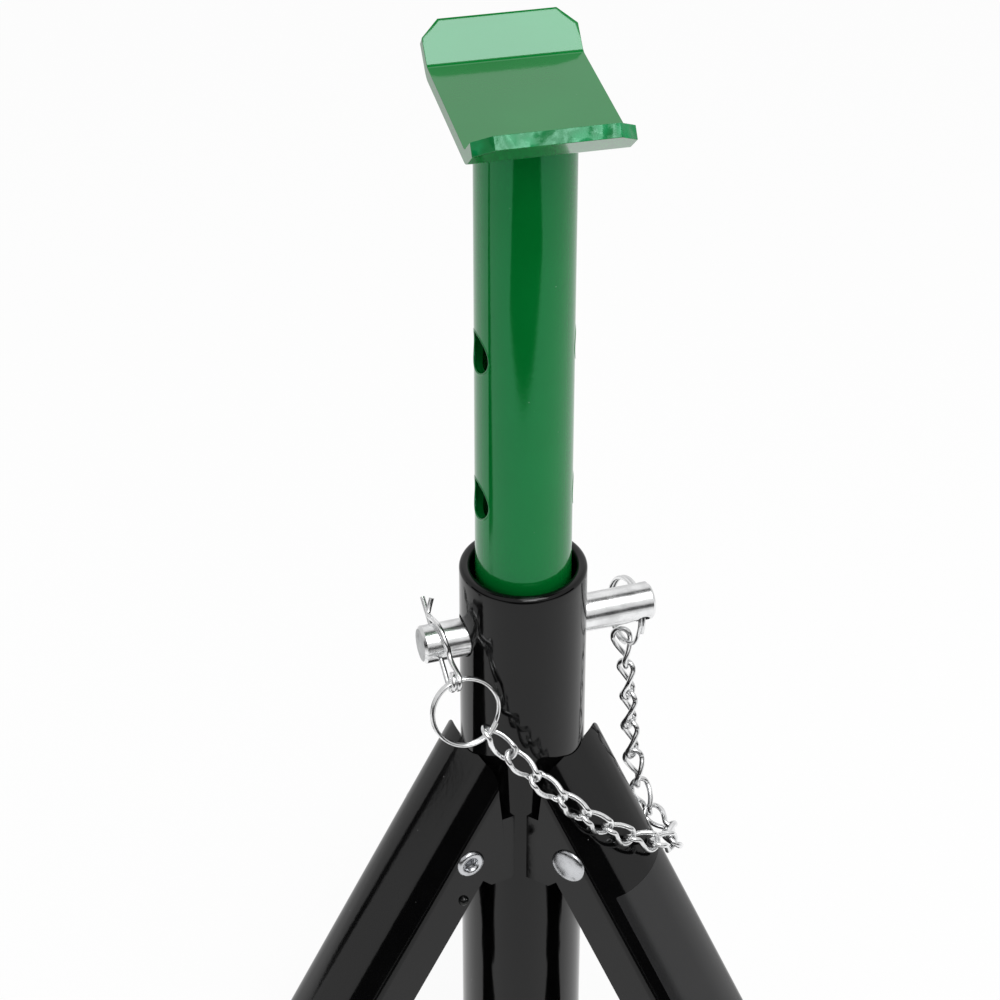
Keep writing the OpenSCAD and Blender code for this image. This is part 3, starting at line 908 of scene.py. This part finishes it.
@dataclass
class LockPin(Assembly):
    """The pin with its split ring, and the spring clip with its own.

    Args:
        radius: The pin's radius.
        ring_hole: Place of the ring's hole along the pin.
        ring_r: Radius of a ring to the middle of its wire.
        ring_wire: Radius of a ring's wire.
        ring_rise: Half the step between a ring's two turns.
        pin_ring_tilt: Turns of the pin's ring about the pin and then across it.
        clip_ring_roll: Turn of the clip's ring from the upright.
        clip_ring_swing: How far the clip's ring hangs to the side.
        clip_wire: Radius of the clip's wire.
        eye_at: Place of the clip's eye along its straight leg.
        eye_r: Radius of the eye.
        eye_step: Step of the eye's coil in one turn.
        eye_turns: Turns of the coil.
    """

    radius: float = 7.0
    ring_hole: float = 44.5
    ring_r: float = 12.4
    ring_wire: float = 0.74
    ring_rise: float = 0.73
    pin_ring_tilt: tuple[float, float] = (-50.0, 9.4)
    clip_ring_roll: float = -110.0
    clip_ring_swing: float = 14.0
    clip_wire: float = 0.95
    eye_at: float = 17.5
    eye_r: float = 2.77
    eye_step: float = 2.1
    eye_turns: float = 1.5

    def shank(self) -> None:
        """The drilled pin with its dull sawn ends."""
        mesh = merged_copy("lock_pin")
        axis = (PIN_FRAME.to_3x3() @ Vector((1, 0, 0))).normalized()
        for face in mesh.faces:
            face.material_index = int(abs(face.normal.dot(axis)) > 0.95)
        self.finished(mesh, "lock_pin", Body.PIN, Slot.ZINC, PIN_ZINC, PIN_END_ZINC)

    def split_ring(self, name: str, place: Matrix, body: Body) -> None:
        """A split ring of two turns that cross over at one side."""
        first, last, cross_from, cross_width = 30, 690, 330, 60
        path = []
        for a in arc(first, last, 44):
            lift = min(1.0, max(0.0, (math.degrees(a) - cross_from) / cross_width))
            height = self.ring_rise * (2 * lift * lift * (3 - 2 * lift) - 1)
            path.append(place @ (Vector((self.ring_r * math.cos(a), self.ring_r * math.sin(a), height)) * MM))
        piece = wire_piece(f"{name}_finished", [path], self.ring_wire * MM, self.paints.of(WIRE_ZINC))
        self.stand_in(piece, name, body, Slot.ZINC)

    def clip(self) -> None:
        """The spring clip: a straight leg, a coiled eye and a waved leg with a flared tip."""
        straight = (-18.2, -10.5, -3.5, 3.5, 10.5)
        tip = ((-8.3, 3.3, 0.0), (-10.3, 2.2, 0.3), (-12.4, 2.9, -0.5), (-15.1, 5.0, -1.9))
        over, wave, wave_side = 8.3, 5.0, -2.2
        over_side, over_lean = -1.0, 1.2
        deep = (over + wave) / math.sqrt(2)
        line = [(x, 0.0, 0.0) for x in straight]
        for a in arc(0, 360 * self.eye_turns, 24):
            along, across = self.eye_r * math.sin(a), self.eye_r * math.cos(a)
            line.append((self.eye_at + along, self.eye_r - across, -self.eye_step * a / math.tau))
        for a in arc(-90, -135, 2):
            line.append((deep + wave * math.cos(a), deep + wave * math.sin(a), wave_side))
        for a in arc(60, 135, 5):
            line.append((over * math.cos(a), over * math.sin(a), over_side - over_lean * math.cos(a)))
        path = [CLIP_FRAME @ (Vector(point) * MM) for point in (*line, *tip)]
        piece = wire_piece("r_clip_finished", [path], self.clip_wire * MM, self.paints.of(WIRE_ZINC))
        self.stand_in(piece, "r_clip", Body.CLIP, Slot.ZINC)

    def build(self) -> None:
        """Builds and dresses the pin and what hangs on it."""
        self.shank()
        self.clip()
        middle = -self.eye_step * self.eye_turns / 2
        eye = CLIP_FRAME @ shift(self.eye_at, self.eye_r, middle) @ turn("Y", 90)
        eye = eye @ turn("X", -CLIP_ROLL) @ turn("X", self.clip_ring_roll)
        swing = math.radians(self.clip_ring_swing)
        hang = shift(self.ring_r * math.sin(swing), self.ring_r * math.cos(swing), 0)
        self.split_ring("clip_ring", eye @ hang, Body.CLIP)
        about, over = self.pin_ring_tilt
        hole = PIN_FRAME @ shift(self.ring_hole, 0, 0) @ turn("X", about) @ turn("Z", over)
        sag = self.ring_r - math.sqrt(self.ring_r**2 - self.radius**2)
        self.split_ring("pin_ring", hole @ shift(0, self.ring_r - sag / 2, 0) @ turn("Y", 90), Body.PIN)


@dataclass(frozen=True)
class ChainRun:
    """Some links made as one piece.

    Args:
        name: The piece's name.
        first: Number of the first link.
        last: Number of the last link.
        near: Body at the first link's start. Not used.
        far: Body at the last link's end. Not used.
    """

    name: str
    first: int
    last: int
    near: Body
    far: Body


@dataclass
class Chain(Assembly):
    """The chain of twisted links between the two rings.

    Args:
        route: Points along it from the clip's ring, in millimetres, with heights from the pin's axis.
        runs: Its links in groups, each made as one piece and listed with the bodies at its ends.
        rolls: Each link's turn about its length.
        reach: How far a link passes the joint with the next.
        end_r: Radius of a link's ends to the middle of its wire.
        wire: Radius of a link's wire.
        twist: Turn of a link's ends against its middle.
        steps: Steps of the curve between two points of the route.
    """

    route: tuple[Point, ...] = (
        (-11.5, -30, -26), (-2, -32, -36), (7, -33.5, -45.5), (16.5, -34.5, -53.5), (25, -32.5, -63.5),
        (33, -28.5, -72), (41.5, -24, -80), (46, -20, -83), (56.5, -17, -90), (57, -2.5, -93.5),
        (51, 4.5, -96.5), (45.5, 9.5, -88), (42.5, 11, -75), (40.5, 13.5, -62), (39.5, 15, -47.5),
        (38.5, 17.5, -34), (35.5, 22, -17.5),
    )
    runs: tuple[ChainRun, ...] = (
        ChainRun("chain_at_clip", 0, 1, Body.CLIP, Body.PIN),
        ChainRun("chain_in_front", 2, 2, Body.PIN, Body.STAND),
        ChainRun("chain_onto_leg", 3, 6, Body.STAND, Body.LEG_C),
        ChainRun("chain_off_leg", 7, 10, Body.LEG_C, Body.STAND),
        ChainRun("chain_at_pin", 11, 15, Body.STAND, Body.PIN),
    )
    rolls: tuple[float, ...] = (40, 75, 70, 55, 35, 15, 0, 5, 25, 35, 45, 20, -10, -15, -10, 20)
    reach: float = 2.4
    end_r: float = 3.2
    wire: float = 1.0
    twist: float = 45.0
    steps: int = 8

    def line(self) -> list[Vector]:
        """The route as a smooth curve through its points, in short steps."""
        knots = [Vector(point) + Vector((0, 0, PIN_HEIGHT)) for point in self.route]
        made = []
        for i in range(len(knots) - 1):
            a, b, c, d = (knots[min(max(i + k, 0), len(knots) - 1)] for k in (-1, 0, 1, 2))
            slope, curl, turnover = c - a, 2 * a - 5 * b + 4 * c - d, 3 * b - a - 3 * c + d
            for u in (k / self.steps for k in range(self.steps)):
                made.append(0.5 * (2 * b + slope * u + curl * u**2 + turnover * u**3))
        return [*made, knots[-1]]

    def joints(self) -> list[Vector]:
        """Points on the route where the links meet, evenly spaced."""
        line = self.line()
        lengths = [(q - p).length for p, q in zip(line, line[1:])]
        pitch = sum(lengths) / len(self.rolls)
        slack = 1e-9
        made, walked = [line[0]], 0.0
        for p, q, length in zip(line, line[1:], lengths):
            while len(made) <= len(self.rolls) and len(made) * pitch <= walked + length + slack:
                made.append(p + (q - p) * ((len(made) * pitch - walked) / length))
            walked += length
        return made

    def link(self, length: float) -> list[Vector]:
        """One link along X: a long loop twisted between its flat ends."""
        r = self.end_r
        half = length / 2 - r
        flat = [(half + r * math.cos(a), r * math.sin(a)) for a in arc(-90, 90, 8)]
        flat += [(x, r) for x in (half / 2, 0.0, -half / 2)]
        flat += [(r * math.cos(a) - half, r * math.sin(a)) for a in arc(90, 270, 8)]
        flat += [(x, -r) for x in (-half / 2, 0.0, half / 2)]
        loop = []
        for x, y in flat:
            twist = math.radians(self.twist) * max(-1.0, min(1.0, x / half))
            loop.append(Vector((x, y * math.cos(twist), y * math.sin(twist))))
        return loop

    def loops(self, joints: Sequence[Vector]) -> list[list[Vector]]:
        """Centre line of each link in place, in metres."""
        side = Vector((-0.1, -1.0, 0.1))
        made = []
        for start, end, roll in zip(joints, joints[1:], self.rolls):
            x = (end - start).normalized()
            side = (side - side.dot(x) * x).normalized()
            axes = Matrix((x, side, x.cross(side))).transposed().to_4x4()
            place = Matrix.Translation((start + end - self.reach * x) / 2) @ axes @ turn("X", roll)
            made.append([place @ point * MM for point in self.link((end - start).length + self.reach)])
        return made

    def build(self) -> None:
        """Builds the chain in runs of links."""
        joints = self.joints()
        loops = self.loops(joints)
        for run in self.runs:
            links = loops[run.first : run.last + 1]
            piece = wire_piece(run.name, links, self.wire * MM, self.paints.of(WIRE_ZINC), closed=True)
            joints[run.first] * MM
            joints[run.last + 1] * MM
            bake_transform(piece)
            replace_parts(piece, "chain")


# Studio, with fields in metres and degrees


@dataclass(frozen=True)
class Lamp:
    """A soft rectangular light.

    Args:
        name: Its name.
        place: Where it stands.
        aim: The point that it faces.
        size: Width and height.
        power: Watts.
        mirrored: False if reflections don't show it.
    """

    name: str
    place: Point
    aim: Point
    size: tuple[float, float]
    power: float
    mirrored: bool = False

    def build(self) -> None:
        """Makes the light."""
        data = bpy.data.lights.new(self.name, "AREA")
        data.shape = "RECTANGLE"
        data.size, data.size_y = self.size
        data.energy = self.power
        lamp = bpy.data.objects.new(self.name, data)
        lamp.location = self.place
        lamp.rotation_euler = (Vector(self.aim) - Vector(self.place)).to_track_quat("-Z", "Y").to_euler()
        lamp.visible_camera = False
        lamp.visible_glossy = self.mirrored
        bpy.context.scene.collection.objects.link(lamp)


@dataclass(frozen=True)
class Flag:
    """A black card that only reflections see.

    Args:
        name: Its name.
        place: Its centre.
        aim: The point that it faces.
        size: Width and height.
        spin: Its turn about its own axis.
    """

    name: str
    place: Point
    aim: Point
    size: tuple[float, float]
    spin: float = 0.0

    @classmethod
    def on_floor(cls, name: str, x: float, y: float, size: tuple[float, float], spin: float = 0.0) -> "Flag":
        """A card that lies just over the floor."""
        gap = 0.002
        return cls(name, (x, y, gap), (x, y, 1.0), size, spin)

    def build(self) -> None:
        """Makes the card."""
        mesh = bmesh.new()
        bmesh.ops.create_grid(mesh, x_segments=1, y_segments=1, size=0.5)
        facing = (Vector(self.aim) - Vector(self.place)).to_track_quat("-Z", "Y").to_matrix().to_4x4()
        stretch = turn("Z", self.spin) @ Matrix.Diagonal((*self.size, 1.0, 1.0))
        bmesh.ops.transform(mesh, matrix=Matrix.Translation(self.place) @ facing @ stretch, verts=mesh.verts)
        material, graph = new_material(self.name)
        graph.show(graph.matt(grey=0.0, roughness=1.0))
        card = new_piece(self.name, mesh, [material])
        card.visible_camera = False
        card.visible_diffuse = False
        card.visible_shadow = False
        card.visible_transmission = False


@dataclass(frozen=True)
class PhotoCamera:
    """The camera of the photo.

    Args:
        place: Where it stands.
        look: The direction that it looks in.
        lens: Focal length in millimetres on a 36 mm sensor.
    """

    place: Point = (0.01884, -0.86364, 0.88267)
    look: Point = (-0.0258, 0.82104, -0.57028)
    lens: float = 107.68

    def build(self) -> None:
        """Makes the camera."""
        data = bpy.data.cameras.new("photo_camera")
        data.lens = self.lens
        data.sensor_width = 36.0
        camera = bpy.data.objects.new("photo_camera", data)
        camera.location = self.place
        camera.rotation_euler = Vector(self.look).to_track_quat("-Z", "Y").to_euler()
        bpy.context.scene.collection.objects.link(camera)
        bpy.context.scene.camera = camera


@dataclass
class Studio:
    """A white sweep with soft light, and black cards that draw the dark bands in the gloss.

    Args:
        lamps: Its lights.
        flags: Its black cards.
        floor_half: Half the floor's width.
        floor_fade: Distances between which reflections of the floor turn grey.
        floor_far: That grey.
        floor_glow: Share of the floor that is plain white and keeps no shadow.
        sky_mirrored: Share of the white background that reflections see.
        sky_light: Strength of the background as light.
    """

    lamps: tuple[Lamp, ...] = (
        Lamp("top_light", (0.33, -0.45, 1.55), (0.0, 0.02, 0.38), (0.6, 0.85), 8.8, mirrored=True),
        Lamp("top_fill", (0.3, -0.4, 1.6), (0.0, 0.0, 0.35), (0.9, 0.9), 3.4),
        Lamp("rim_light", (0.26, -0.92, 1.36), (0.0, 0.0, 0.25), (0.5, 0.4), 4.0, mirrored=True),
        Lamp("back_light", (0.0, 1.6, 1.6), (0.0, 0.0, 0.4), (2.4, 1.6), 2.3, mirrored=True),
        Lamp("left_light", (-1.5, -0.7, 0.9), (0.0, 0.0, 0.25), (0.9, 1.3), 9.0),
        Lamp("right_light", (1.5, -0.5, 0.9), (0.0, 0.0, 0.25), (0.9, 1.3), 9.0),
    )
    flags: tuple[Flag, ...] = (
        Flag("dark_front", (0.0, -1.5, 0.37), (0.0, 0.0, 0.37), (5.0, 0.7)),
        Flag("dark_left", (-1.5, -0.72, 0.37), (0.0, -0.72, 0.37), (1.6, 0.7)),
        Flag("dark_right", (1.5, -0.72, 0.37), (0.0, -0.72, 0.37), (1.6, 0.7)),
        Flag("dark_gap", (-0.92, 0.236, 0.1), (0.0, -0.02, 0.1), (0.084, 0.2)),
        Flag("dark_ceiling", (0.0, 0.4, 1.95), (0.0, 0.4, 0.0), (1.6, 0.8)),
        Flag.on_floor("dark_table_front", 0.0575, -1.01, (0.795, 0.96)),
        Flag.on_floor("dark_table_left", -0.28, -0.03, (0.15, 0.14)),
        Flag.on_floor("dark_table_seam", -0.62, -0.09, (0.46, 0.07)),
        Flag.on_floor("dark_under_left", -0.0865, -0.048, (0.064, 0.033), -11.8),
        Flag.on_floor("dark_under_right", 0.0865, -0.0495, (0.064, 0.041), 18.8),
    )
    floor_half: float = 6.0
    floor_fade: tuple[float, float] = (0.5, 1.0)
    floor_far: float = 0.72
    floor_glow: float = 0.93
    sky_mirrored: float = 0.5
    sky_light: float = 0.45

    def floor(self) -> None:
        """A white floor that keeps a soft shadow, and is greyer far off in reflections."""
        mesh = bmesh.new()
        bmesh.ops.create_grid(mesh, x_segments=1, y_segments=1, size=self.floor_half)
        material, graph = new_material("sweep")
        shaded = graph.matt(grey=0.8, roughness=0.9)
        away = graph.node("ShaderNodeVectorMath", {"operation": "LENGTH"}, {0: graph.place()}, "Value")
        off_gloss = graph.node("ShaderNodeLightPath", output="Is Glossy Ray")
        far = away.ramp(*self.floor_fade) * off_gloss
        tone = graph.blend(far, (1.0, 1.0, 1.0), (self.floor_far, self.floor_far, self.floor_far))
        white = graph.node("ShaderNodeEmission", inputs={"Color": tone, "Strength": 1.0})
        share = self.seen(graph, 1.0) * self.floor_glow
        graph.show(graph.node("ShaderNodeMixShader", inputs={0: share, 1: shaded, 2: white}))
        sheet = new_piece("sweep", mesh, [material])

    @staticmethod
    def seen(graph: Graph, mirrored: float) -> Socket:
        """1 for rays from the camera and through glass, and a share of it for rays off gloss."""
        kinds = ("Is Camera Ray", "Is Glossy Ray", "Is Transmission Ray")
        first, second, third = (graph.node("ShaderNodeLightPath", output=kind) for kind in kinds)
        return first.highest(second * mirrored).highest(third)

    def world(self) -> None:
        """White behind the object, softer as light on it."""
        world = bpy.data.worlds.new("studio")
        bpy.context.scene.world = world
        world.use_nodes = True
        world.node_tree.nodes.clear()
        graph = Graph(world.node_tree)
        strength = self.seen(graph, self.sky_mirrored).between(self.sky_light, 1.0)
        inputs = {"Color": (1.0, 1.0, 1.0, 1.0), "Strength": strength}
        graph.show(graph.node("ShaderNodeBackground", inputs=inputs), "ShaderNodeOutputWorld")

    def build(self) -> None:
        """Makes the floor, the world, the lights, the cards and the camera."""
        self.floor()
        self.world()
        for lamp in self.lamps:
            lamp.build()
        for flag in self.flags:
            flag.build()
        PhotoCamera().build()
        bpy.context.scene.view_settings.view_transform = "Standard"


def main() -> None:
    """Builds the dressed stand in its studio."""
    logging.basicConfig(level=logging.INFO, format="%(name)s %(message)s")
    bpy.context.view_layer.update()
    paints = Paints()
    CentreTube(paints).build()
    legs = [
        FoldingLeg(paints, "a", Body.LEG_A, 90.0),
        FoldingLeg(paints, "b", Body.LEG_B, 210.0, eases=(12.0, 4.0), head=5.0),
        FoldingLeg(paints, "c", Body.LEG_C, 330.0, eases=(4.0, 12.0)),
    ]
    for leg in legs:
        leg.build()
    Sticker(paints, legs[-1]).build()
    HeightColumn(paints).build()
    LockPin(paints).build()
    Chain(paints).build()
    Studio().build()


if __name__ == "__main__":
    main()
